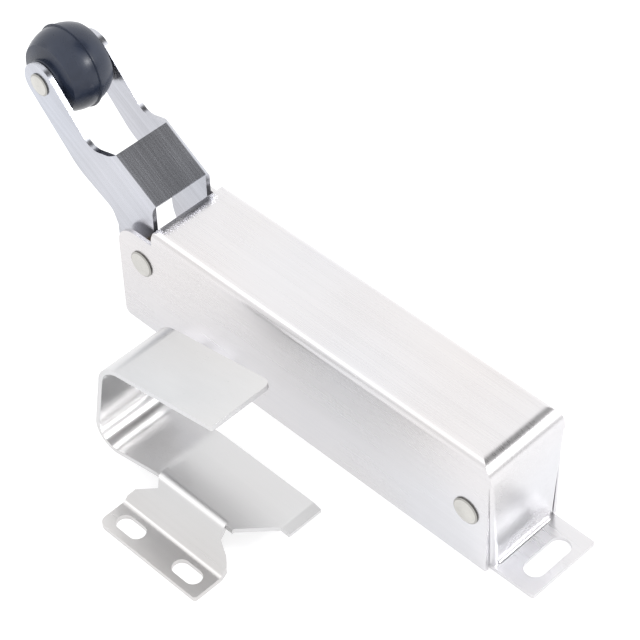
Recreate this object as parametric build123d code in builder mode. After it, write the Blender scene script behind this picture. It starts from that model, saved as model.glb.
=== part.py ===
from build123d import *
from math import atan2, cos, degrees, hypot, pi, radians, sin
import os

# Spring-action door closer with a roller arm, and its hook strike.
# Frame: origin on the mounting plane, midway between the two ear holes of the housing.
# +X runs from the head, where the arm is, to the tail; +Z is away from the door; -Y is the near side.
os.makedirs("parts", exist_ok=True)

# ---------------------------------------------------------------- driving dimensions (mm)
# housing
sheet = 2.0                      # stainless sheet of the cover
ear_to_head = 47.0               # ear holes to the head end of the side walls
wall_length = 230.0
cover_width = 46.8
cover_height = 66.5
side_bend = 5.0                  # outer radius between the top and the side walls
tail_bend = 10.0                 # outer radius between the top and the end panel
end_overhang = 1.5               # end panel past the side walls' ends
foot_length = 23.0
foot_width = 41.0
foot_slot_length = 26.5
foot_slot_width = 10.1
ear_length = 30.0
ear_reach = 16.0                 # ear, out from the side wall
ear_hole_spacing = 63.0
ear_hole_r = 3.3

# arm
arm_sheet = 2.5
arm_bend = 2.8                   # outer radius between the web and the cheeks
arm_inner_bend = 0.8
arm_width = 36.0
pivot_height = 41.6
pivot_from_head = 15.4
swing_range = 57.0               # degrees, raised stop to lowered stop
crank_radius = 18.0
crank_below_line = swing_range / 2    # degrees under the pivot-to-tail line, so the toggle is symmetric
axle_from_head = -53.0
axle_height = 107.0
strip_end_r = 10.7

# pins
pin_r = 5.0
pin_head_r = 6.8
pin_head = 1.2
crank_pin_r = 4.0
axle_r = 4.0
axle_head_r = 5.8
pivot_bush_r = 7.0
pivot_flange_r = 8.8
running = 0.05                   # radial clearance of a running fit
snug = 0.02                      # radial clearance of a fixed fit

# roller
ball_r = 20.8
flash_r = 21.6
hub_r = 10.8
hub_half_width = 14.6
bush_r = 6.5

# spring group
tail_pin_height = 31.4
tail_pin_from_head = 218.0
rod_r = 4.5
spring_outer_r = 12.5
spring_wire_r = 1.75
spring_turns = 22
rod_travel = 2.4                 # the rod slides this far as the toggle passes its centre

# strike
strike_sheet = 2.5
strike_x = 42.6                  # head corner of the foot
strike_y = -105.5                # bend between the foot and its riser
strike_foot_length = 61.8
strike_foot_depth = 15.6
strike_slot_spacing = 36.0
strike_slot_length = 16.0
strike_slot_width = 8.5
strike_slot_inset = 7.8
riser_run = 13.1
plate_height = 18.2              # upper face of the lower jaw
plate_width = 35.2
neck_start = 9.8
neck_end = 51.9
plate_fold = 70.0
corner_cut = 15.6
lip_run = 4.6
lip_drop = 1.0
jaw_tip = 47.6
jaw_tip_height = 77.8

# ---------------------------------------------------------------- places worked out from them
head_x = -ear_to_head
tail_x = head_x + wall_length
end_x = tail_x + end_overhang
wall_out = cover_width / 2
wall_in = wall_out - sheet
cheek_out = arm_width / 2
cheek_in = cheek_out - arm_sheet
pivot_x = head_x + pivot_from_head
axle_x = head_x + axle_from_head
tail_pin_x = head_x + tail_pin_from_head

line_tilt = degrees(atan2(tail_pin_height - pivot_height, tail_pin_x - pivot_x))
crank_angle = radians(line_tilt - crank_below_line)
crank_x = pivot_x + crank_radius * cos(crank_angle)
crank_z = pivot_height + crank_radius * sin(crank_angle)
rod_length = hypot(tail_pin_x - crank_x, tail_pin_height - crank_z)
rod_tilt = degrees(atan2(crank_z - tail_pin_height, tail_pin_x - crank_x))

# the rod's own plane: x runs from the tail pin towards the crank pin, z is its upright
rod_plane = Plane(
    origin=(tail_pin_x, 0, tail_pin_height),
    x_dir=(-cos(radians(rod_tilt)), 0, sin(radians(rod_tilt))),
    z_dir=(0, 1, 0),
)


def along_rod(distance):
    """Plane across the rod, at a distance from the tail pin, facing the crank pin."""
    return Plane(
        origin=rod_plane.from_local_coords((distance, 0, 0)),
        x_dir=(0, 1, 0),
        z_dir=rod_plane.x_dir,
    )


def across(y, x=0.0, z=0.0):
    """Plane facing +Y at a given Y, with its origin over (x, z); its own x is -X and y is +Z."""
    return Plane(origin=(x, y, z), x_dir=(-1, 0, 0), z_dir=(0, 1, 0))


def sheet_lines(points, thickness, inner_radii):
    """Two filleted lines, thickness apart, for bent sheet whose left face follows the points."""
    count = len(points)
    heading = [atan2(points[i + 1][1] - points[i][1], points[i + 1][0] - points[i][0])
               for i in range(count - 1)]
    left_r = []
    right_r = []
    offset_points = []
    for i, (x, z) in enumerate(points):
        before = heading[max(i - 1, 0)]
        after = heading[min(i, count - 2)]
        turn = (after - before + pi) % (2 * pi) - pi
        middle = before + turn / 2
        reach = thickness / cos(turn / 2)
        offset_points.append((x + reach * sin(middle), z - reach * cos(middle)))
        if 0 < i < count - 1:
            inner_r = inner_radii[i - 1]
            left_r.append(inner_r if turn > 0 else inner_r + thickness)
            right_r.append(inner_r + thickness if turn > 0 else inner_r)
    left = FilletPolyline(*points, radius=left_r)
    right = FilletPolyline(*offset_points, radius=right_r)
    Line(left @ 0, right @ 0)
    Line(left @ 1, right @ 1)


def write(piece, name):
    """Label a finished piece and write it as one STEP file."""
    piece.part.label = name
    export_step(piece.part, f"parts/{name}.step")


# ---------------------------------------------------------------- cover
lobe_z = 58.0                    # top of the side walls' head lobes
lobe_r = 11.5
lip_x = head_x + 23.5            # front edge of the top
lip_r = 8.0                      # the top's front edge rolls down a little
lip_fall = 1.4
return_depth = 4.0               # end panel's side returns, tucked inside the walls
return_out = wall_in + 0.1
relief = 1.0                     # bend relief beside the foot
panel_top = cover_height - tail_bend
panel_low_half = 20.7            # the end panel is as wide as the cover at its top, and narrower here
panel_low_r = 4.0
panel_high_r = 1.45

with BuildPart() as cavity:
    with BuildSketch(Plane.YZ.offset(head_x - 1)) as cavity_section:
        with Locations((0, (cover_height - sheet) / 2 - 1)):
            Rectangle(2 * wall_in, cover_height - sheet + 2)
        fillet(cavity_section.vertices().group_by(Axis.Y)[-1], side_bend - sheet)
    extrude(amount=end_x - sheet - head_x + 1)
    with BuildSketch(Plane.XZ) as cavity_side:
        with BuildLine():
            roof = cover_height - sheet
            inner_end = end_x - sheet
            inner_bend = tail_bend - sheet
            Line((lip_x, roof - lip_fall), (lip_x, roof + 2))
            Line((lip_x, roof + 2), (head_x - 2, roof + 2))
            Line((head_x - 2, roof + 2), (head_x - 2, -2))
            Line((head_x - 2, -2), (inner_end, -2))
            Line((inner_end, -2), (inner_end, roof - inner_bend))
            RadiusArc((inner_end, roof - inner_bend), (inner_end - inner_bend, roof), -inner_bend)
            Line((inner_end - inner_bend, roof), (lip_x + lip_r, roof))
            ThreePointArc((lip_x + lip_r, roof), (lip_x + lip_r / 2, roof - lip_fall / 4),
                          (lip_x, roof - lip_fall))
        make_face()
    extrude(amount=cover_width, both=True, mode=Mode.INTERSECT)

with BuildPart() as cover:
    with BuildSketch(Plane.YZ.offset(head_x)) as cover_section:
        with Locations((0, cover_height / 2)):
            Rectangle(cover_width, cover_height)
        fillet(cover_section.vertices().group_by(Axis.Y)[-1], side_bend)
    extrude(amount=end_x - head_x)
    with BuildSketch(Plane.XZ) as cover_side:
        with BuildLine():
            Line((head_x, 0), (head_x, lobe_z - lobe_r))
            RadiusArc((head_x, lobe_z - lobe_r), (head_x + lobe_r, lobe_z), lobe_r)
            Line((head_x + lobe_r, lobe_z), (lip_x, lobe_z))
            Line((lip_x, lobe_z), (lip_x, cover_height - lip_fall))
            ThreePointArc((lip_x, cover_height - lip_fall),
                          (lip_x + lip_r / 2, cover_height - lip_fall / 4),
                          (lip_x + lip_r, cover_height))
            Line((lip_x + lip_r, cover_height), (end_x - tail_bend, cover_height))
            RadiusArc((end_x - tail_bend, cover_height), (end_x, cover_height - tail_bend), tail_bend)
            Line((end_x, cover_height - tail_bend), (end_x, 0))
            Line((end_x, 0), (head_x, 0))
        make_face()
        fillet(cover_side.vertices().filter_by(lambda v: v.X == head_x and v.Y == 0), 3.0)
        fillet(cover_side.vertices().filter_by(
            lambda v: abs(v.X - lip_x) < 0.01 and abs(v.Y - lobe_z) < 0.01), 1.5)
    extrude(amount=cover_width, both=True, mode=Mode.INTERSECT)
    add(cavity.part, mode=Mode.SUBTRACT)

    # side returns of the end panel, inside the walls
    for side in (1, -1):
        with BuildSketch(Plane.XY) as return_plan:
            with Locations((end_x - sheet - return_depth / 2, side * (return_out - sheet / 2))):
                Rectangle(return_depth, sheet)
        extrude(amount=panel_top)

    # tail foot with its slot
    with BuildSketch(Plane.XY) as foot_plan:
        with Locations((end_x - sheet / 2 + foot_length / 2, 0)):
            Rectangle(foot_length + sheet, foot_width)
        fillet(foot_plan.vertices().group_by(Axis.X)[-1], 1.0)
    extrude(amount=sheet)
    with BuildSketch(Plane.XY) as foot_slot:
        with Locations((end_x + foot_length - 9.5, 0)):
            SlotOverall(foot_slot_length, foot_slot_width, rotation=90)
    extrude(amount=sheet, mode=Mode.SUBTRACT)
    foot_bend = cover.edges().filter_by(Axis.Y).filter_by(
        lambda e: abs(e.center().X - end_x) < 0.01 and abs(e.center().Z - sheet) < 0.01)
    fillet(foot_bend, 1.6)
    # the walls stop short of the end panel, whose upright edges are rounded and lean inwards
    for side in (1, -1):
        for z, half, r in ((sheet, panel_low_half, panel_low_r), (panel_top, wall_out, panel_high_r)):
            with BuildSketch(Plane.XY.offset(z)) as corner_plan:
                with BuildLine():
                    start = (end_x - r, side * half)
                    middle = (end_x - r + r * cos(radians(45)), side * (half - r + r * sin(radians(45))))
                    finish = (end_x, side * (half - r))
                    beside = min(wall_out, max(half + 0.02, wall_in))
                    ThreePointArc(start, middle, finish)
                    Polyline(finish, (end_x + 2, finish[1]), (end_x + 2, side * (wall_out + 1)),
                             (tail_x, side * (wall_out + 1)), (tail_x, side * (beside + 0.02)),
                             (end_x - r, side * (beside + 0.01)), start)
                make_face()
        loft(mode=Mode.SUBTRACT)
        with BuildSketch(Plane.XY.offset(-1)) as wall_end:
            with Locations((tail_x + foot_length / 2, side * (foot_width / 2 + relief + sheet))):
                Rectangle(foot_length, 2 * sheet)
        extrude(amount=sheet + 1, mode=Mode.SUBTRACT)

    # bend relief beside the foot
    for side in (1, -1):
        with BuildSketch(Plane.XY) as relief_plan:
            with Locations((end_x - sheet / 2, side * (foot_width / 2 + relief / 2))):
                Rectangle(sheet + 2.4, relief)
        extrude(amount=sheet + 1.2, mode=Mode.SUBTRACT)

    # side ears, bent out of the walls' lower edges
    for side in (1, -1):
        with BuildSketch(Plane.XY) as ear_plan:
            with Locations((0, side * (wall_out + ear_reach / 2 - 1))):
                Rectangle(ear_length, ear_reach + 2)
            outer = ear_plan.vertices().sort_by(Axis.Y, reverse=side > 0)[:2]
            fillet(outer, 5.0)
            with Locations((0, side * ear_hole_spacing / 2)):
                Circle(ear_hole_r, mode=Mode.SUBTRACT)
        extrude(amount=sheet)
    ear_bends = cover.edges().filter_by(Axis.X).filter_by(
        lambda e: abs(abs(e.center().Y) - wall_out) < 0.01 and abs(e.center().Z - sheet) < 0.01)
    fillet(ear_bends, 2.0)

    # pin holes through both walls
    for x, z in ((pivot_x, pivot_height), (tail_pin_x, tail_pin_height)):
        with BuildSketch(across(-cover_width, x, z)) as pin_hole:
            Circle(pin_r + snug)
        extrude(amount=2 * cover_width, mode=Mode.SUBTRACT)
write(cover, "cover")


# ---------------------------------------------------------------- peened pins
def peened_pin(x, z, radius, half_grip, head_r, head):
    """Pin along Y with a chamfered, slightly raised head at each end."""
    with BuildPart() as pin:
        with BuildSketch(Plane.XY) as outline:
            with BuildLine():
                top = half_grip + head
                for end in (1, -1):
                    Polyline((radius, 0), (radius, end * half_grip), (head_r, end * half_grip),
                             (head_r, end * (top - 0.6)), (head_r - 0.8, end * (top - 0.2)),
                             (head_r / 2, end * (top - 0.05)), (0, end * top))
                Line((0, top), (0, -top))
            make_face()
        revolve(axis=Axis.Y)
    pin.part = pin.part.moved(Location((x, 0, z)))
    return pin


arm_pivot_pin = peened_pin(pivot_x, pivot_height, pin_r, wall_out + snug, pin_head_r, pin_head)
write(arm_pivot_pin, "arm_pivot_pin")
tail_pin = peened_pin(tail_pin_x, tail_pin_height, pin_r, wall_out + snug, pin_head_r, pin_head)
write(tail_pin, "tail_pin")
roller_axle = peened_pin(axle_x, axle_height, axle_r, cheek_out + snug, axle_head_r, pin_head)
write(roller_axle, "roller_axle")


# ---------------------------------------------------------------- arm
# web: flat face between the cheeks, sloping down towards the tail
web_front = (head_x - 5.5, 91.0)
web_rear = (head_x + 19.8, 74.7)
web_tilt = atan2(web_front[1] - web_rear[1], web_rear[0] - web_front[0])
front_edge_x = head_x - 6.0
strip_up = radians(48.1)         # slope of the strips' upper edge
strip_low = radians(46.6)        # slope of their lower edge
dip = (head_x - 20.4, 86.7)      # corner between the strip's upper edge and the web
dip_r = 9.0
low_bend = (head_x - 31.5, 68.7)    # where the strip widens into the cheek
low_bend_r = 30.0
low_corner = (head_x - 9.0, 57.2)
low_corner_r = 8.0
neck_low = 49.5
rear_step = 57.0                 # height of the cheek's rear edge's lower end
crank_lobe_r = 8.0
cheek_round_r = pivot_x - front_edge_x

upper_tangent = (axle_x + strip_end_r * sin(strip_up), axle_height + strip_end_r * cos(strip_up))
lower_tangent = (axle_x - strip_end_r * sin(strip_low), axle_height - strip_end_r * cos(strip_low))
lobe_low_angle = radians(-100)
lobe_high_angle = radians(50)
bottom_angle = radians(-80)
bottom_point = (pivot_x + cheek_round_r * cos(bottom_angle),
                pivot_height + cheek_round_r * sin(bottom_angle))
lobe_low = (crank_x + crank_lobe_r * cos(lobe_low_angle), crank_z + crank_lobe_r * sin(lobe_low_angle))
lobe_high = (crank_x + crank_lobe_r * cos(lobe_high_angle), crank_z + crank_lobe_r * sin(lobe_high_angle))

with BuildPart() as arm:
    with BuildSketch(Plane.XZ) as cheek:
        with BuildLine():
            Line(web_rear, web_front)
            FilletPolyline(web_front, dip, upper_tangent, radius=dip_r)
            ThreePointArc(upper_tangent,
                          (axle_x - strip_end_r * cos(radians(45)),
                           axle_height + strip_end_r * sin(radians(45))),
                          lower_tangent)
            FilletPolyline(lower_tangent, low_bend, low_corner, (front_edge_x, neck_low),
                           radius=[low_bend_r, low_corner_r])
            Line((front_edge_x, neck_low), (front_edge_x, pivot_height))
            ThreePointArc((front_edge_x, pivot_height),
                          (pivot_x + cheek_round_r * cos(radians(-130)),
                           pivot_height + cheek_round_r * sin(radians(-130))),
                          bottom_point)
            Line(bottom_point, lobe_low)
            ThreePointArc(lobe_low, (crank_x + crank_lobe_r, crank_z), lobe_high)
            Line(lobe_high, (web_rear[0], rear_step))
            Line((web_rear[0], rear_step), web_rear)
        make_face()
    extrude(amount=cheek_out, both=True)
    web_edges = arm.edges().filter_by(
        lambda e: abs(abs(e.center().Y) - cheek_out) < 0.01
        and abs(e.center().X - (web_front[0] + web_rear[0]) / 2) < 0.5
        and abs(e.center().Z - (web_front[1] + web_rear[1]) / 2) < 0.5)
    fillet(web_edges, arm_bend)
    # hollow between the cheeks, open everywhere except under the web
    with BuildSketch(Plane.XZ) as hollow:
        with BuildLine():
            down = (-arm_sheet * sin(web_tilt), -arm_sheet * cos(web_tilt))
            rear_under = (web_rear[0] + down[0], web_rear[1] + down[1])
            rear_over = (web_rear[0] - 2 * down[0], web_rear[1] - 2 * down[1])
            front_under = (web_front[0] + down[0], web_front[1] + down[1])
            front_over = (web_front[0] - 3 * down[0], web_front[1] - 3 * down[1])
            Polyline(rear_under, front_under, front_over, (axle_x, axle_height + 30),
                     (axle_x - 30, axle_height + 30), (axle_x - 30, -1), (crank_x + 20, -1),
                     (crank_x + 20, rear_over[1]), rear_over, rear_under)
        make_face()
    extrude(amount=cheek_in, both=True, mode=Mode.SUBTRACT)
    inner_edges = arm.edges().filter_by(
        lambda e: abs(abs(e.center().Y) - cheek_in) < 0.01
        and abs(e.center().X - (web_front[0] + web_rear[0]) / 2) < 2.0
        and e.center().Z > web_rear[1] + 2)
    fillet(inner_edges, arm_inner_bend)
    for x, z, r in ((pivot_x, pivot_height, pivot_bush_r + snug), (crank_x, crank_z, crank_pin_r + snug),
                    (axle_x, axle_height, axle_r + snug)):
        with BuildSketch(across(-arm_width, x, z)) as arm_hole:
            Circle(r)
        extrude(amount=2 * arm_width, mode=Mode.SUBTRACT)
write(arm, "arm")


# ---------------------------------------------------------------- rings on the cross pins
def ring(y_low, y_high, x, z, outer_r, inner_r, edge=0.0):
    """Turned ring along Y between two Y places."""
    with BuildPart() as part:
        with BuildSketch(across(y_low, x, z)) as face:
            Circle(outer_r)
            Circle(inner_r, mode=Mode.SUBTRACT)
        extrude(amount=y_high - y_low)
        if edge:
            chamfer(part.edges().filter_by(GeomType.CIRCLE).group_by(SortBy.RADIUS)[-1], edge)
    return part


def both_sides(name, inner_y, outer_y, x, z, outer_r, inner_r, edge=0.0):
    """The same ring on the near side (-Y) and on the far side (+Y)."""
    write(ring(-outer_y, -inner_y, x, z, outer_r, inner_r, edge), f"{name}_near")
    write(ring(inner_y, outer_y, x, z, outer_r, inner_r, edge), f"{name}_far")


for side, name in ((-1, "pivot_bush_near"), (1, "pivot_bush_far")):
    with BuildPart() as pivot_bush:
        with BuildSketch(Plane.XZ.offset(-side * cheek_in)) as barrel:
            with Locations((pivot_x, pivot_height)):
                Circle(pivot_bush_r)
        extrude(amount=-side * (arm_sheet + 1.0))
        with BuildSketch(Plane.XZ.offset(-side * (cheek_out + snug))) as flange:
            with Locations((pivot_x, pivot_height)):
                Circle(pivot_flange_r)
        extrude(amount=-side * (wall_in - cheek_out - 2 * running))
        with BuildSketch(across(-cover_width, pivot_x, pivot_height)) as bush_bore:
            Circle(pin_r + running)
        extrude(amount=2 * cover_width, mode=Mode.SUBTRACT)
    write(pivot_bush, name)

eye_half_width = 8.0
clip_r = 6.6
clip_mouth = 4.5
clip_inner = cheek_out + 0.1
clip_outer = clip_inner + 1.2
pin_past_clip = 0.6
crank_sleeve_r = 6.0
with BuildPart() as crank_pin:
    with BuildSketch(across(-clip_outer - pin_past_clip, crank_x, crank_z)) as crank_section:
        Circle(crank_pin_r)
    extrude(amount=2 * (clip_outer + pin_past_clip))
    chamfer(crank_pin.edges().filter_by(GeomType.CIRCLE), 0.4)
write(crank_pin, "crank_pin")
both_sides("crank_sleeve", eye_half_width + 0.15, cheek_in - 0.05, crank_x, crank_z,
           crank_sleeve_r, crank_pin_r + snug, 0.3)

for side, name in ((-1, "crank_clip_near"), (1, "crank_clip_far")):
    with BuildPart() as crank_clip:
        start = clip_inner if side > 0 else -clip_outer
        with BuildSketch(across(start, crank_x, crank_z)) as clip_face:
            Circle(clip_r)
            Circle(crank_pin_r + snug, mode=Mode.SUBTRACT)
            with Locations((clip_r, 0)):
                Rectangle(clip_r, clip_mouth, mode=Mode.SUBTRACT)
        extrude(amount=clip_outer - clip_inner)
    write(crank_clip, name)

# ---------------------------------------------------------------- roller
shoulder_r = 16.4
shoulder_y = 11.8
hub_y = 12.8
flash_half = 0.5
flash_y = 0.9                    # the mould's joint is a little to the far side of the middle
ball_at_shoulder = (ball_r ** 2 - shoulder_y ** 2) ** 0.5
ball_middle = radians(18)

with BuildPart() as roller_tyre:
    with BuildSketch(Plane.XY) as tyre_half:
        with BuildLine():
            Line((bush_r + snug, 0), (ball_r, 0))
            ThreePointArc((ball_r, 0), (ball_r * cos(ball_middle), ball_r * sin(ball_middle)),
                          (ball_at_shoulder, shoulder_y))
            Polyline((ball_at_shoulder, shoulder_y), (shoulder_r, shoulder_y + 0.15),
                     (hub_r + 2.0, hub_y - 0.1), (hub_r, hub_y + 0.3), (hub_r, hub_half_width - 0.5),
                     (hub_r - 0.5, hub_half_width), (bush_r + snug, hub_half_width),
                     (bush_r + snug, 0))
        make_face()
        mirror(about=Plane.XZ)
    revolve(axis=Axis.Y)
    with BuildSketch(Plane.XY) as flash:
        with BuildLine():
            Polyline((ball_r - 1, flash_y - flash_half), (ball_r - 0.1, flash_y - flash_half),
                     (flash_r, flash_y - flash_half / 3), (flash_r, flash_y + flash_half / 3),
                     (ball_r - 0.1, flash_y + flash_half), (ball_r - 1, flash_y + flash_half),
                     close=True)
        make_face()
    revolve(axis=Axis.Y)
roller_tyre.part = roller_tyre.part.moved(Location((axle_x, 0, axle_height)))
write(roller_tyre, "roller_tyre")

write(ring(-hub_half_width, hub_half_width, axle_x, axle_height, bush_r, axle_r + running, 0.3),
      "roller_bush")
both_sides("roller_washer", hub_half_width + 0.1, cheek_in - 0.05, axle_x, axle_height,
           8.5, axle_r + snug, 0.15)

# ---------------------------------------------------------------- spring group, on the rod's line
seat_half_width = 10.0
seat_half_height = 9.0
seat_front = 14.0                # seat block ends here, measured from the tail pin
flange_r = 13.5
flange_end = seat_front + 3.0
sleeve_r = 7.4
sleeve_end = 36.0
bore_bottom = 12.0
rod_tail = bore_bottom + rod_travel + 1.6
washer = 2.0
nut_height = 7.0
nut_across = 17.0
front_washer_at = 150.0
spring_start = flange_end + washer + 0.05
spring_end = front_washer_at - 0.05

with BuildPart() as spring_seat:
    with BuildSketch(rod_plane.offset(-seat_half_width)) as seat_side:
        Circle(seat_half_height)
        with Locations((seat_front / 2, 0)):
            Rectangle(seat_front, 2 * seat_half_height)
    extrude(amount=2 * seat_half_width)
    with BuildSketch(along_rod(seat_front)) as seat_flange:
        Circle(flange_r)
    extrude(amount=flange_end - seat_front)
    with BuildSketch(along_rod(flange_end)) as sleeve:
        Circle(sleeve_r)
    extrude(amount=sleeve_end - flange_end)
    with BuildSketch(along_rod(bore_bottom)) as rod_bore:
        Circle(rod_r + running)
    extrude(amount=sleeve_end, mode=Mode.SUBTRACT)
    with BuildSketch(rod_plane.offset(-cover_width)) as seat_bore:
        Circle(pin_r + running)
    extrude(amount=2 * cover_width, mode=Mode.SUBTRACT)
write(spring_seat, "spring_seat")
both_sides("tail_spacer", seat_half_width + 0.1, wall_in - 0.05, tail_pin_x, tail_pin_height,
           7.0, pin_r + snug, 0.4)

eye_r = 6.9
eye_slot_r = crank_pin_r + 0.25
eye_play = rod_travel + 0.1
eye_neck = rod_length - 22.0
with BuildPart() as rod_end:
    with BuildSketch(rod_plane.offset(-eye_half_width)) as eye_face:
        with Locations((rod_length, 0)):
            SlotCenterToCenter(2 * eye_play, 2 * eye_r)
    extrude(amount=2 * eye_half_width)
    with BuildSketch(along_rod(eye_neck)) as neck:
        Circle(7.0)
    extrude(amount=16.0)
    with BuildSketch(rod_plane.offset(-cover_width)) as eye_slot:
        with Locations((rod_length, 0)):
            SlotCenterToCenter(2 * eye_play, 2 * eye_slot_r)
    extrude(amount=2 * cover_width, mode=Mode.SUBTRACT)
    with BuildSketch(along_rod(eye_neck)) as eye_socket:
        Circle(rod_r + snug)
    extrude(amount=10.0, mode=Mode.SUBTRACT)
write(rod_end, "rod_end")

with BuildPart() as guide_rod:
    with BuildSketch(along_rod(rod_tail)) as rod_section:
        Circle(rod_r)
    extrude(amount=eye_neck + 9.9 - rod_tail)
    chamfer(guide_rod.edges().filter_by(GeomType.CIRCLE), 0.6)
write(guide_rod, "guide_rod")


def rod_collar(start, length, outer_r, sides=0):
    """Ring or hexagon nut threaded on the rod."""
    with BuildPart() as collar:
        with BuildSketch(along_rod(start)) as collar_face:
            if sides:
                RegularPolygon(outer_r, sides)
            else:
                Circle(outer_r)
            Circle(rod_r + snug, mode=Mode.SUBTRACT)
        extrude(amount=length)
        if sides:
            with BuildSketch(along_rod(start)) as rounding:
                Circle(outer_r * 0.96)
            extrude(amount=length, mode=Mode.INTERSECT)
    return collar


nut_corner_r = nut_across / (2 * cos(pi / 6))
nut_gap = 0.05
adjusting_nut_at = front_washer_at + washer + nut_gap
lock_nut_at = adjusting_nut_at + nut_height + nut_gap
# the rear washer is bored to slip over the seat's sleeve
with BuildPart() as rear_washer:
    with BuildSketch(along_rod(flange_end + 0.02)) as rear_face:
        Circle(flange_r - 0.5)
        Circle(sleeve_r + snug, mode=Mode.SUBTRACT)
    extrude(amount=washer - 0.02)
write(rear_washer, "rear_washer")
write(rod_collar(front_washer_at, washer, flange_r - 0.5), "front_washer")
write(rod_collar(adjusting_nut_at, nut_height, nut_corner_r, 6), "adjusting_nut")
write(rod_collar(lock_nut_at, nut_height * 0.6, nut_corner_r, 6), "lock_nut")

coil_r = spring_outer_r - spring_wire_r
coil_start = spring_start + spring_wire_r
coil_length = spring_end - spring_start - 2 * spring_wire_r
with BuildPart() as main_spring:
    with BuildLine() as coil:
        Helix(coil_length / spring_turns, coil_length, coil_r)
    with BuildSketch(Plane(origin=coil.line @ 0, z_dir=coil.line % 0)) as wire:
        Circle(spring_wire_r)
    sweep(path=coil.line, is_frenet=True)
main_spring.part = main_spring.part.moved(along_rod(coil_start).location)
write(main_spring, "main_spring")

# ---------------------------------------------------------------- strike
strike_bend = 3.0                # inner radius of the foot's bends
near_edge = riser_run
far_edge = riser_run + plate_width
plate_under = plate_height - strike_sheet
# corners of the hook's outer face, from the lip round to the tip of the upper jaw
knee = (10.5, plate_under)
back_low = (-34.0, 6.2)
back_high = (-23.6, 64.4)
fold_bend = 2.0                  # inner radii of its bends
knee_bend = 30.0
back_low_bend = 8.5
back_high_bend = 14.0
trim_start = 56.2
flare_low = 5.0                  # the riser narrows from here up to the neck
flare_high = near_edge - 3.6
neck_slant = 2.9                 # the neck's head edge slants over this much as it goes down
setback = 5.0                    # bend between the lower jaw and the riser
strike_plane = Plane(origin=(strike_x, strike_y, 0))


def strike_side(v):
    """Plane of the hook's side view at a depth v behind the foot's bend, facing -Y."""
    return Plane(origin=(strike_x, strike_y + v, 0), x_dir=(1, 0, 0), z_dir=(0, -1, 0))


with BuildPart() as strike:
    # hook: lip, lower jaw, back and upper jaw, bent from one strip
    with BuildSketch(strike_side(far_edge)) as hook_side:
        with BuildLine():
            sheet_lines([(plate_fold + lip_run, plate_under - lip_drop), (plate_fold, plate_under),
                         knee, back_low, back_high, (jaw_tip, jaw_tip_height)],
                        strike_sheet, (fold_bend, knee_bend, back_low_bend, back_high_bend))
        make_face()
    extrude(amount=plate_width)
    # plan of the hook: near corner of the lower jaw cut off at a slant
    with BuildSketch(strike_plane.offset(plate_height - 8)) as corner:
        with BuildLine():
            lip_end = plate_fold + lip_run + 2
            Polyline((trim_start, near_edge - 1), (trim_start, near_edge + 1),
                     (plate_fold, near_edge + corner_cut), (lip_end, near_edge + corner_cut + 0.5),
                     (lip_end, near_edge - 1), close=True)
        make_face()
    extrude(amount=12, mode=Mode.SUBTRACT)
    # the upper jaw's corners are rounded, the far one more
    tips = strike.edges().filter_by(
        lambda e: abs(e.center().X - (strike_x + jaw_tip)) < 1.0 and e.length < 4.0
        and e.center().Z > plate_height + 10)
    fillet(tips.sort_by(Axis.Y)[-1], 4.0)
    fillet(tips.sort_by(Axis.Y)[0], 0.8)
    # room for the bend between the lower jaw and the riser
    with BuildSketch(strike_plane.offset(plate_under - 1)) as bend_room:
        with Locations(((neck_start + neck_end) / 2, near_edge + setback / 2 - 0.5)):
            Rectangle(neck_end - neck_start, setback + 1)
    extrude(amount=strike_sheet + 2, mode=Mode.SUBTRACT)

with BuildPart() as strike_foot:
    with BuildSketch(Plane(origin=(strike_x, strike_y, 0), x_dir=(0, 1, 0), z_dir=(1, 0, 0))) as foot_side:
        with BuildLine():
            sheet_lines([(-strike_foot_depth, strike_sheet), (0, strike_sheet),
                         (near_edge, plate_height), (near_edge + setback, plate_height)],
                        strike_sheet, (strike_bend, strike_bend))
        make_face()
    extrude(amount=strike_foot_length)
    # the riser narrows from the foot to the neck
    with BuildSketch(strike_plane.offset(-1)) as foot_outline:
        with BuildLine():
            Polyline((0, -strike_foot_depth), (strike_foot_length, -strike_foot_depth),
                     (strike_foot_length, flare_low - 1.5), (strike_foot_length - 2.5, flare_low + 1),
                     (neck_end, flare_high), (neck_end, near_edge + setback),
                     (neck_start, near_edge + setback), (neck_start, near_edge),
                     (neck_start + neck_slant, flare_high), (2.3, flare_low), (0, flare_low - 3),
                     close=True)
        make_face()
        fillet(foot_outline.vertices().group_by(Axis.Y)[0].sort_by(Axis.X)[0], 4.0)
        fillet(foot_outline.vertices().group_by(Axis.Y)[0].sort_by(Axis.X)[-1], 1.5)
        with Locations((strike_foot_length / 2, -strike_slot_inset)):
            with GridLocations(strike_slot_spacing, 1, 2, 1):
                SlotOverall(strike_slot_length, strike_slot_width, mode=Mode.SUBTRACT)
    extrude(amount=plate_height + 2, mode=Mode.INTERSECT)

with BuildPart() as whole_strike:
    add(strike.part)
    add(strike_foot.part)
write(whole_strike, "strike")
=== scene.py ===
import math

import bpy
from mathutils import Matrix, Vector


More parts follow.
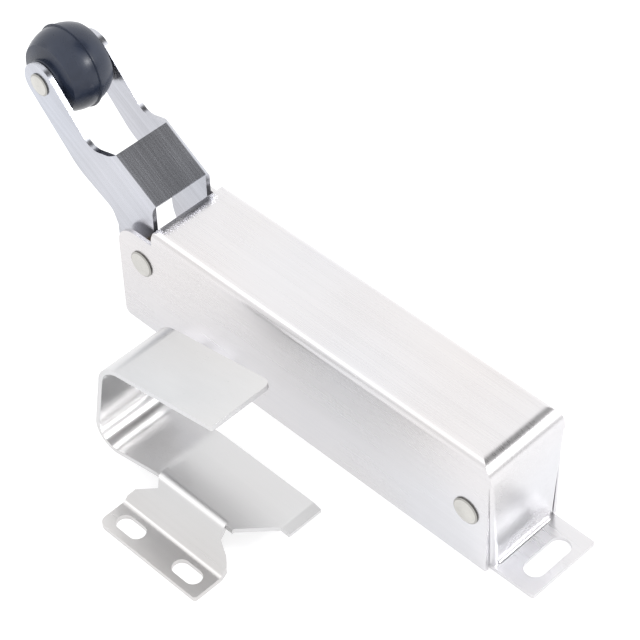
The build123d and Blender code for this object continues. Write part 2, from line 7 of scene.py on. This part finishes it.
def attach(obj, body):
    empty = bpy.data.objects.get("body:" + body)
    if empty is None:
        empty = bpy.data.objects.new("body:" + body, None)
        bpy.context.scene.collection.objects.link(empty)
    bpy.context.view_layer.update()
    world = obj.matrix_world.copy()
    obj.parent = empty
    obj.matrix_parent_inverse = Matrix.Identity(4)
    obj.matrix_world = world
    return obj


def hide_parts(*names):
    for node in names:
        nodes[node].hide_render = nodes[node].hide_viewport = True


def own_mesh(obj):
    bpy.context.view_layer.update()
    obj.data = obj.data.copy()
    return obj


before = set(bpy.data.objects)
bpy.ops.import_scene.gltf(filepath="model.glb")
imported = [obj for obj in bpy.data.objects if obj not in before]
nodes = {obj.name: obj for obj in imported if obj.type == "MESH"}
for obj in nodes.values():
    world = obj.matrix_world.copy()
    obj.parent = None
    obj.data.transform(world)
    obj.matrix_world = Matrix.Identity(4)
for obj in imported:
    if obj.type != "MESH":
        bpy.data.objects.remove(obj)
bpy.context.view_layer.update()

# ------------------------------------------------------------------ camera
CAMERA_PLACE = Vector((0.5917, -0.5149, 0.8072))
CAMERA_AZIMUTH = 45.92        # degrees, 0 looks along +Y
CAMERA_ELEVATION = 45.27
CAMERA_ROLL = -1.79
SENSOR_WIDTH = 36.0           # mm
CAMERA_LENS = 133.4           # mm
CAMERA_SHIFT = (0.0045, -0.0216)
CLIP_NEAR, CLIP_FAR = 0.05, 20.0

# ------------------------------------------------------------------ finishes
COVER_TINT = (0.665, 0.652, 0.66)
ARM_TINT = (0.476, 0.484, 0.524)
STRIKE_TINT = (0.62, 0.613, 0.612)
PIN_TINT = (0.60, 0.59, 0.56)
ZINC_TINT = (0.62, 0.63, 0.65)
SPRING_DARK, SPRING_LIGHT = (0.05, 0.05, 0.055), (0.16, 0.16, 0.17)
PORE_TINT, BRONZE_TINT = (0.16, 0.11, 0.06), (0.42, 0.31, 0.18)
RUBBER_DARK, RUBBER_LIGHT = (0.014, 0.019, 0.034), (0.024, 0.031, 0.052)
DUST_TINT = (0.20, 0.21, 0.24)
ARM_WEB_TILT = math.radians(32.8)   # the arm's grain follows its sloping web
NOISE_LOW, NOISE_HIGH = 0.25, 0.75  # most of a noise texture's values lie between these
CORNER_SHADE_REACH = 0.06           # m over which an inner corner gets painted shade

# Texture units per metre along X, Y and Z, so small numbers give long features.
FINE_GRAIN, WIDE_GRAIN = (14, 1500, 1500), (5, 260, 260)
CLOUDS, DRIFT = (18, 18, 18), (9, 14, 14)
SCUFFS, PATCHES = (900, 900, 900), (120, 120, 120)
MILL_SCALE, PORES = (700, 700, 700), (2200, 2200, 2200)
RUBBER_SKIN, RUBBER_FLOW, DUST = (1600, 1600, 1600), (60, 60, 60), (420, 420, 420)

# Bump heights in metres.
FINE_GRAIN_HEIGHT, WIDE_GRAIN_HEIGHT = 0.00006, 0.00008
SCUFF_HEIGHT, PATCH_HEIGHT = 0.00005, 0.0002
MILL_SCALE_HEIGHT, PORE_HEIGHT = 0.00008, 0.0001
SKIN_HEIGHT, FLOW_HEIGHT = 0.00006, 0.0005

# ------------------------------------------------------------------ studio
SURROUND = 1.36               # radiance of the white surround
LOBES = (                     # direction, full and fading half-angles in degrees, radiance
    ((-0.75, 0.50, 0.45), 5, 40, 1.30),     # head side, far
    ((0.72, 0.47, 0.50), 10, 24, 1.75),     # white panel, tail side, far
    ((-0.50, -0.50, 0.71), 6, 18, 1.9),     # white panel, head side, near
    ((-0.50, -0.80, 0.33), 6, 20, 1.05),    # low, head side, near
    ((0.26, 0.50, 0.83), 9, 24, 0.125),     # dark gap overhead
    ((0.86, 0.49, 0.13), 3, 12, 0.45),      # dim strip, low, tail side, far
)
LIGHTS = (                    # name, place, size, power in W
    ("tail_box", (0.95, 0.42, 0.76), (0.22, 0.18), 4.4),
    ("head_box", (-0.80, -0.62, 0.86), (0.09, 0.08), 0.35),
)
LIGHTS_AIM = (0, 0, 0.04)
FLOOR_HALF = 3.0
FLOOR_DROP = 0.0002           # keeps the floor clear of the parts' undersides
FLOOR_TINT = (0.50, 0.50, 0.505, 1)
FLOOR_GLOW = 0.62


def add_camera():
    """Main view: a long lens from the near tail side, looking down at 45 degrees."""
    a, e = math.radians(CAMERA_AZIMUTH), math.radians(CAMERA_ELEVATION)
    back = Vector((math.sin(a) * math.cos(e), -math.cos(a) * math.cos(e), math.sin(e)))
    right = Vector((math.cos(a), math.sin(a), 0))
    up = back.cross(right)
    roll = math.radians(CAMERA_ROLL)
    side = right * math.cos(roll) + up * math.sin(roll)
    top = up * math.cos(roll) - right * math.sin(roll)
    turn = Matrix((side, top, back)).transposed().to_4x4()
    data = bpy.data.cameras.new("camera")
    data.lens = CAMERA_LENS
    data.sensor_width = SENSOR_WIDTH
    data.shift_x, data.shift_y = CAMERA_SHIFT
    data.clip_start, data.clip_end = CLIP_NEAR, CLIP_FAR
    camera = bpy.data.objects.new("camera", data)
    camera.matrix_world = Matrix.Translation(CAMERA_PLACE) @ turn
    bpy.context.collection.objects.link(camera)
    bpy.context.scene.camera = camera


# ------------------------------------------------------------------ node helpers
class Graph:
    """Short names for building a material's nodes."""

    def __init__(self, name):
        self.material = bpy.data.materials.new(name)
        self.material.use_nodes = True
        self.tree = self.material.node_tree
        self.shader = self.tree.nodes["Principled BSDF"]

    def add(self, kind, **settings):
        node = self.tree.nodes.new(kind)
        for key, value in settings.items():
            setattr(node, key, value)
        return node

    def link(self, source, target):
        self.tree.links.new(source, target)

    def place(self, scale, rotation=(0, 0, 0)):
        """Object coordinates, turned and then stretched."""
        where = self.add("ShaderNodeTexCoord")
        turned = self.add("ShaderNodeMapping", vector_type="POINT")
        turned.inputs["Rotation"].default_value = rotation
        self.link(where.outputs["Object"], turned.inputs["Vector"])
        stretched = self.add("ShaderNodeMapping", vector_type="POINT")
        stretched.inputs["Scale"].default_value = scale
        self.link(turned.outputs["Vector"], stretched.inputs["Vector"])
        return stretched.outputs["Vector"]

    def noise(self, vector, detail, roughness=0.55, distortion=0.0):
        """Noise about one unit of the vector across."""
        node = self.add("ShaderNodeTexNoise")
        self.link(vector, node.inputs["Vector"])
        node.inputs["Scale"].default_value = 1.0
        node.inputs["Detail"].default_value = detail
        node.inputs["Roughness"].default_value = roughness
        node.inputs["Distortion"].default_value = distortion
        return node.outputs["Fac"]

    def ramp(self, value, stops, smooth=False):
        """stops: (place, colour or grey) pairs."""
        node = self.add("ShaderNodeValToRGB")
        node.color_ramp.interpolation = "EASE" if smooth else "LINEAR"
        while len(node.color_ramp.elements) < len(stops):
            node.color_ramp.elements.new(0.5)
        for element, (place, colour) in zip(node.color_ramp.elements, stops):
            if not isinstance(colour, tuple):
                colour = (colour, colour, colour)
            element.position = place
            element.color = (*colour, 1)
        self.link(value, node.inputs["Fac"])
        return node.outputs["Color"]

    def span(self, value, low, high):
        """A noise value spread over low to high."""
        node = self.add("ShaderNodeMapRange")
        node.inputs["From Min"].default_value = NOISE_LOW
        node.inputs["From Max"].default_value = NOISE_HIGH
        node.inputs["To Min"].default_value = low
        node.inputs["To Max"].default_value = high
        self.link(value, node.inputs["Value"])
        return node.outputs["Result"]

    def mix(self, factor, a, b, blend="MIX"):
        node = self.add("ShaderNodeMix", data_type="RGBA", blend_type=blend)
        for key, value in (("Factor", factor), ("A", a), ("B", b)):
            socket = [s for s in node.inputs if s.name == key and s.enabled][0]
            if isinstance(value, bpy.types.NodeSocket):
                self.link(value, socket)
            else:
                socket.default_value = value if key == "Factor" else (*value, 1)
        return [s for s in node.outputs if s.enabled][0]

    def bump(self, height, strength, distance, below=None):
        """Bump in metres, on top of another bump if one is given."""
        node = self.add("ShaderNodeBump")
        node.inputs["Strength"].default_value = strength
        node.inputs["Distance"].default_value = distance
        self.link(height, node.inputs["Height"])
        if below is not None:
            self.link(below, node.inputs["Normal"])
        return node.outputs["Normal"]

    def set(self, **values):
        """Shader inputs by name, with _ for each space."""
        for key, value in values.items():
            socket = self.shader.inputs[key.replace("_", " ")]
            if isinstance(value, bpy.types.NodeSocket):
                self.link(value, socket)
            else:
                socket.default_value = value


def times(tint, factor):
    """A colour made factor times as bright."""
    return tuple(c * factor for c in tint)


# ------------------------------------------------------------------ materials
def brushed_steel(name, tint, roughness, grain_turn=0.0, streak=0.05,
                  grain_depth=0.25, cast=0.02, painted_corner_shade=0.0):
    """Satin stainless sheet. The grain runs along X, turned about Y by grain_turn.

    streak is how far the grain's colour strays from the tint, and cast how warm and cool it
    drifts. painted_corner_shade darkens inner corners by that share: painted shade, found by
    ambient occlusion.
    """
    g = Graph(name)
    turn = (0, grain_turn, 0)
    fine = g.noise(g.place(FINE_GRAIN, turn), detail=4.0, roughness=0.7)
    wide = g.noise(g.place(WIDE_GRAIN, turn), detail=3.0)
    cloud = g.noise(g.place(CLOUDS), detail=2.0)
    drift = g.noise(g.place(DRIFT), detail=1.0)
    light = tuple(min(1.0, c) for c in times(tint, 1 + streak))
    dark = times(tint, 1 - streak)
    colour = g.mix(0.5, g.ramp(wide, [(0.3, dark), (0.7, light)]),
                   g.ramp(fine, [(0.35, dark), (0.65, light)]))
    handled = g.ramp(cloud, [(0.35, times(tint, 0.94)), (0.65, light)])
    warm = (1 + cast, 1.0, 1 - cast)
    cool = (1 - cast, 1.0, 1 + cast)
    tone = g.mix(g.span(drift, 0.0, 1.0), warm, cool)
    base = g.mix(1.0, g.mix(0.35, colour, handled), tone, "MULTIPLY")
    if painted_corner_shade:
        # Painted shade: inner corners, found by ambient occlusion, are darkened in the base
        # colour.
        corner = g.add("ShaderNodeAmbientOcclusion", samples=8, only_local=True)
        corner.inputs["Distance"].default_value = CORNER_SHADE_REACH
        corner_shade = g.ramp(corner.outputs["AO"], [(0.15, 1.0 - painted_corner_shade), (0.62, 1.0)],
                      smooth=True)
        base = g.mix(1.0, base, corner_shade, "MULTIPLY")
    rough = g.mix(0.5, g.span(fine, roughness * 0.75, roughness * 1.3),
                  g.span(cloud, roughness * 0.85, roughness * 1.2))
    grain = g.bump(fine, grain_depth, FINE_GRAIN_HEIGHT,
                   g.bump(wide, grain_depth * 0.5, WIDE_GRAIN_HEIGHT))
    g.set(Base_Color=base, Metallic=1.0, Roughness=rough, Normal=grain, Anisotropic=0.35)
    return g.material


def turned_steel(name, tint, roughness, rim=1.0):
    """Pins, nuts and washers: plated steel with fine scuffs.

    Faces that don't look along Y are rim times as bright: painted shade on the pin heads' rims.
    """
    g = Graph(name)
    scuff = g.noise(g.place(SCUFFS), detail=5.0, roughness=0.7)
    patch = g.noise(g.place(PATCHES), detail=3.0)
    colour = g.ramp(patch, [(0.3, times(tint, 0.86)), (0.7, tint)])
    if rim < 1.0:
        # Painted shade: faces not looking along Y, such as the pin heads' rims, are darkened.
        facing = g.add("ShaderNodeSeparateXYZ")
        where = g.add("ShaderNodeTexCoord")
        g.link(where.outputs["Normal"], facing.inputs["Vector"])
        flat = g.add("ShaderNodeMath", operation="ABSOLUTE")
        g.link(facing.outputs["Y"], flat.inputs[0])
        painted_rim_shade = g.ramp(flat.outputs["Value"], [(0.80, rim), (0.97, 1.0)])
        colour = g.mix(1.0, colour, painted_rim_shade, "MULTIPLY")
    g.set(Base_Color=colour, Metallic=1.0)
    g.set(Roughness=g.span(scuff, roughness * 0.7, roughness * 1.5))
    g.set(Normal=g.bump(scuff, 0.25, SCUFF_HEIGHT, g.bump(patch, 0.3, PATCH_HEIGHT)))
    return g.material


def spring_steel(name):
    """Dark, oiled spring wire."""
    g = Graph(name)
    scale = g.noise(g.place(MILL_SCALE), detail=4.0)
    colour = g.ramp(scale, [(0.3, SPRING_DARK), (0.7, SPRING_LIGHT)])
    g.set(Base_Color=colour, Metallic=0.85, Roughness=g.span(scale, 0.28, 0.5))
    g.set(Normal=g.bump(scale, 0.3, MILL_SCALE_HEIGHT))
    return g.material


def bronze(name):
    """Sintered bronze bush, with open pores."""
    g = Graph(name)
    pores = g.noise(g.place(PORES), detail=2.0)
    colour = g.ramp(pores, [(0.35, PORE_TINT), (0.6, BRONZE_TINT)])
    g.set(Base_Color=colour, Metallic=1.0, Roughness=g.span(pores, 0.35, 0.6))
    g.set(Normal=g.bump(pores, 0.4, PORE_HEIGHT))
    return g.material


def moulded_rubber(name):
    """Blue-black rubber with a soft moulded sheen and dust specks."""
    g = Graph(name)
    skin = g.noise(g.place(RUBBER_SKIN), detail=3.0)
    flow = g.noise(g.place(RUBBER_FLOW), detail=3.0, distortion=0.6)
    dust = g.add("ShaderNodeTexVoronoi", feature="F1")
    g.link(g.place(DUST), dust.inputs["Vector"])
    specks = g.ramp(dust.outputs["Distance"], [(0.05, 1.0), (0.11, 0.0)])
    tone = g.ramp(flow, [(0.3, RUBBER_DARK), (0.7, RUBBER_LIGHT)])
    g.set(Base_Color=g.mix(g.mix(0.75, specks, (0, 0, 0)), tone, DUST_TINT))
    g.set(Roughness=g.span(flow, 0.20, 0.34))
    g.set(Normal=g.bump(skin, 0.14, SKIN_HEIGHT, g.bump(flow, 0.35, FLOW_HEIGHT)))
    g.set(Specular_IOR_Level=0.38)
    return g.material


def give(material, *names):
    """Assign a material to every slot of the named CAD nodes."""
    for name in names:
        for item in nodes[name].material_slots:
            item.material = material


def add_spring(material):
    """The main spring as a piece of its own, attached to the spring seat's body."""
    coil = nodes["main_spring"]
    spring = bpy.data.objects.new("spring_coil", coil.data.copy())
    spring.data.materials.clear()
    spring.data.materials.append(material)
    bpy.context.collection.objects.link(spring)
    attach(spring, "seat")
    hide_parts("main_spring")
    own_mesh(spring)


def finish_metal_and_rubber():
    """Every CAD node's material, and the spring piece."""
    give(brushed_steel("cover_satin", COVER_TINT, 0.28), "cover")
    give(brushed_steel("arm_brushed", ARM_TINT, 0.22, grain_turn=-ARM_WEB_TILT, streak=0.22,
                       grain_depth=0.6), "arm")
    # The strike gets painted shade in its inner corners.
    give(brushed_steel("strike_satin", STRIKE_TINT, 0.30, streak=0.03,
                       painted_corner_shade=0.7), "strike")
    # The pins get painted shade on their heads' rims.
    give(turned_steel("pin_polished", PIN_TINT, 0.20, rim=0.25),
         "arm_pivot_pin", "tail_pin", "roller_axle", "crank_pin")
    give(turned_steel("zinc_plate", ZINC_TINT, 0.30),
         "crank_clip_near", "crank_clip_far", "crank_sleeve_near", "crank_sleeve_far",
         "tail_spacer_near", "tail_spacer_far", "front_washer", "rear_washer",
         "adjusting_nut", "lock_nut", "guide_rod", "rod_end", "spring_seat",
         "roller_washer_near", "roller_washer_far")
    add_spring(spring_steel("spring_oiled"))
    give(bronze("bush_bronze"), "pivot_bush_near", "pivot_bush_far", "roller_bush")
    give(moulded_rubber("roller_black"), "roller_tyre")


# ------------------------------------------------------------------ floor, lights and world
def add_floor():
    """Plain white table that glows a little, so that it stays white under the part."""
    h = FLOOR_HALF
    mesh = bpy.data.meshes.new("floor")
    mesh.from_pydata([(-h, -h, 0), (h, -h, 0), (h, h, 0), (-h, h, 0)], [], [(0, 1, 2, 3)])
    floor = bpy.data.objects.new("floor", mesh)
    floor.location.z = -FLOOR_DROP
    bpy.context.collection.objects.link(floor)
    g = Graph("floor_white")
    g.set(Base_Color=FLOOR_TINT, Roughness=0.9, Specular_IOR_Level=0.1)
    g.set(Emission_Color=(1, 1, 1, 1), Emission_Strength=FLOOR_GLOW)
    mesh.materials.append(g.material)


def area_light(name, place, size, power):
    """A rectangular light that faces LIGHTS_AIM."""
    data = bpy.data.lights.new(name, "AREA")
    data.shape = "RECTANGLE"
    data.size, data.size_y = size
    data.energy = power
    light = bpy.data.objects.new(name, data)
    light.location = place
    aim = Vector(LIGHTS_AIM) - Vector(place)
    light.rotation_euler = aim.to_track_quat("-Z", "Y").to_euler()
    bpy.context.collection.objects.link(light)


def add_world():
    """Pale studio surround, with brighter and dimmer lobes in some directions."""
    world = bpy.data.worlds.new("studio")
    bpy.context.scene.world = world
    world.use_nodes = True
    tree = world.node_tree
    background = tree.nodes["Background"]
    where = tree.nodes.new("ShaderNodeTexCoord")

    def lobe(direction, inner, outer):
        """1 within inner degrees of a direction, falling to 0 at outer degrees."""
        dot = tree.nodes.new("ShaderNodeVectorMath")
        dot.operation = "DOT_PRODUCT"
        dot.inputs[1].default_value = Vector(direction).normalized()
        tree.links.new(where.outputs["Generated"], dot.inputs[0])
        fall = tree.nodes.new("ShaderNodeMapRange")
        fall.interpolation_type = "SMOOTHSTEP"
        fall.inputs["From Min"].default_value = math.cos(math.radians(outer))
        fall.inputs["From Max"].default_value = math.cos(math.radians(inner))
        tree.links.new(dot.outputs["Value"], fall.inputs["Value"])
        return fall.outputs["Result"]

    def blend(value, factor, radiance):
        """Blend a radiance into another by a factor."""
        mixer = tree.nodes.new("ShaderNodeMix")
        mixer.data_type = "FLOAT"
        tree.links.new(factor, mixer.inputs["Factor"])
        if isinstance(value, float):
            mixer.inputs["A"].default_value = value
        else:
            tree.links.new(value, mixer.inputs["A"])
        mixer.inputs["B"].default_value = radiance
        return mixer.outputs["Result"]

    light = SURROUND
    for direction, inner, outer, radiance in LOBES:
        light = blend(light, lobe(direction, inner, outer), radiance)
    tree.links.new(light, background.inputs["Color"])
    background.inputs["Strength"].default_value = 1.0


bpy.context.scene.view_settings.view_transform = "Standard"
add_camera()
finish_metal_and_rubber()
add_world()
add_floor()
for light_facts in LIGHTS:
    area_light(*light_facts)
